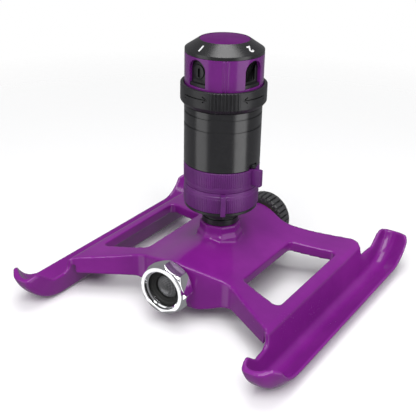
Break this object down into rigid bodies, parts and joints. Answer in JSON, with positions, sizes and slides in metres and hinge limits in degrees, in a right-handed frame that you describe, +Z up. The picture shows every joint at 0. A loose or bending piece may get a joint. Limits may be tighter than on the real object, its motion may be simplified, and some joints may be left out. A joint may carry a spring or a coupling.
{
  "type": "gear-drive lawn sprinkler",
  "caption": "Gear-driven rotating lawn sprinkler on a cast sled base, with hose nut, capped outlet, arc collars, range ring and a turret of selectable spray nozzles.",
  "frame": {"origin": "on the ground under the axis of the sprinkler head, at the bottom centre of the box", "axes": "+Z up along the head's axis, X from skid to skid, -Y towards the hose nut, +Y towards the capped rear outlet"},
  "size_m": [0.2114, 0.2194, 0.1826],
  "materials": {
    "base_paint": "glossy purple paint on a die casting",
    "collar": "satin purple plastic with fine ribs",
    "turret": "glossy purple plastic",
    "body": "charcoal black plastic, slightly glossy",
    "insert": "dark grey plastic",
    "chrome_nut": "bright chrome plate",
    "brass_tube": "turned brass",
    "rubber_seal": "black rubber",
    "screen_mesh": "woven steel screen",
    "steel": "stainless steel",
    "acetal": "white acetal",
    "grey_plastic": "grey glass-filled plastic"
  },
  "bodies": {
    "base": {"base_casting": "base_paint", "inlet_stem": "brass_tube", "outlet_nipple": "brass_tube", "drive_housing": "body", "neck_o_ring": "rubber_seal", "turbine_stator": "grey_plastic", "reverser_clip": "steel", "lower_gear_plate": "grey_plastic", "upper_gear_plate": "grey_plastic", "gear_plate_posts": "grey_plastic", "lay_arbor": "steel", "centre_arbor": "steel", "bearing_cap": "grey_plastic", "thrust_washer": "steel", "riser_seal": "rubber_seal"},
    "hose_nut": {"swivel_nut": "chrome_nut", "hose_washer": "rubber_seal", "filter_screen": "screen_mesh"},
    "cap_seal": {"end_cap_seal": "rubber_seal"},
    "cap": {"end_cap": "body"},
    "lower_collar": {"lower_arc_collar": "collar"},
    "upper_collar": {"upper_arc_collar": "collar"},
    "sleeve": {"barrel": "body", "output_riser": "acetal", "port_seal": "rubber_seal", "detent_ball": "steel", "detent_spring": "steel", "pivot_washer": "steel", "pivot_screw": "steel", "trip_spring": "steel"},
    "second_lay": {"second_lay_gear": "acetal"},
    "centre": {"centre_gear": "acetal"},
    "first_lay": {"first_lay_gear": "acetal"},
    "turbine": {"turbine_wheel": "acetal", "turbine_shaft": "steel", "turbine_pinion": "brass_tube"},
    "trip": {"trip_lever": "body"},
    "reverser": {"reversing_plate": "acetal"},
    "reach_ring": {"range_ring": "body", "drive_pins": "steel", "throttle_disc": "acetal"},
    "turret": {"nozzle_turret": "turret", "round_nozzle": "insert", "finned_nozzle": "insert", "flat_nozzle": "insert", "shower_nozzle": "insert", "top_dial": "body", "top_disc": "turret"}
  },
  "joints": [
    {"name": "nut_spin", "type": "hinge", "parent": "base", "child": "hose_nut", "pos_m": [0, -0.065, 0.0285], "axis": [0, 1, 0], "continuous": true},
    {"name": "cap_travel", "type": "slide", "parent": "base", "child": "cap_seal", "axis": [0, 1, 0], "range_m": [0, 0.0089]},
    {"name": "cap_spin", "type": "hinge", "parent": "cap_seal", "child": "cap", "pos_m": [0, 0.0655, 0.0285], "axis": [0, 1, 0], "range_deg": [0, 1440]},
    {"name": "lower_collar_turn", "type": "hinge", "parent": "base", "child": "lower_collar", "pos_m": [0, 0, 0.076], "axis": [0, 0, 1], "continuous": true},
    {"name": "upper_collar_turn", "type": "hinge", "parent": "base", "child": "upper_collar", "pos_m": [0, 0, 0.0905], "axis": [0, 0, 1], "continuous": true},
    {"name": "sleeve_turn", "type": "hinge", "parent": "base", "child": "sleeve", "pos_m": [0, 0, 0.12], "axis": [0, 0, 1], "continuous": true},
    {"name": "second_lay_spin", "type": "hinge", "parent": "base", "child": "second_lay", "pos_m": [-0.01, 0, 0.1], "axis": [0, 0, 1], "continuous": true},
    {"name": "centre_spin", "type": "hinge", "parent": "base", "child": "centre", "pos_m": [0, 0, 0.095], "axis": [0, 0, 1], "continuous": true},
    {"name": "first_lay_spin", "type": "hinge", "parent": "base", "child": "first_lay", "pos_m": [-0.01, 0, 0.09], "axis": [0, 0, 1], "continuous": true},
    {"name": "turbine_spin", "type": "hinge", "parent": "base", "child": "turbine", "pos_m": [0, 0, 0.08], "axis": [0, 0, 1], "continuous": true},
    {"name": "trip_swing", "type": "hinge", "parent": "sleeve", "child": "trip", "pos_m": [0, 0, 0.1007], "axis": [0, 0, 1], "range_deg": [-6, 6]},
    {"name": "reverser_swing", "type": "hinge", "parent": "base", "child": "reverser", "pos_m": [0, 0, 0.0727], "axis": [0, 0, 1], "range_deg": [-15, 15]},
    {"name": "range_turn", "type": "hinge", "parent": "sleeve", "child": "reach_ring", "pos_m": [0, 0, 0.1462], "axis": [0, 0, 1], "range_deg": [0, 40]},
    {"name": "turret_turn", "type": "hinge", "parent": "sleeve", "child": "turret", "pos_m": [0, 0, 0.16], "axis": [0, 0, 1], "continuous": true}
  ],
  "couplings": [
    {"joint": "cap_travel", "follows": "cap_spin", "m_per_rad": 0.00035152},
    {"joint": "second_lay_spin", "follows": "sleeve_turn", "ratio": 5},
    {"joint": "centre_spin", "follows": "sleeve_turn", "ratio": -15},
    {"joint": "first_lay_spin", "follows": "sleeve_turn", "ratio": 45},
    {"joint": "turbine_spin", "follows": "sleeve_turn", "ratio": -135},
    {"joint": "reverser_swing", "follows": "trip_swing", "ratio": 2.5}
  ]
}
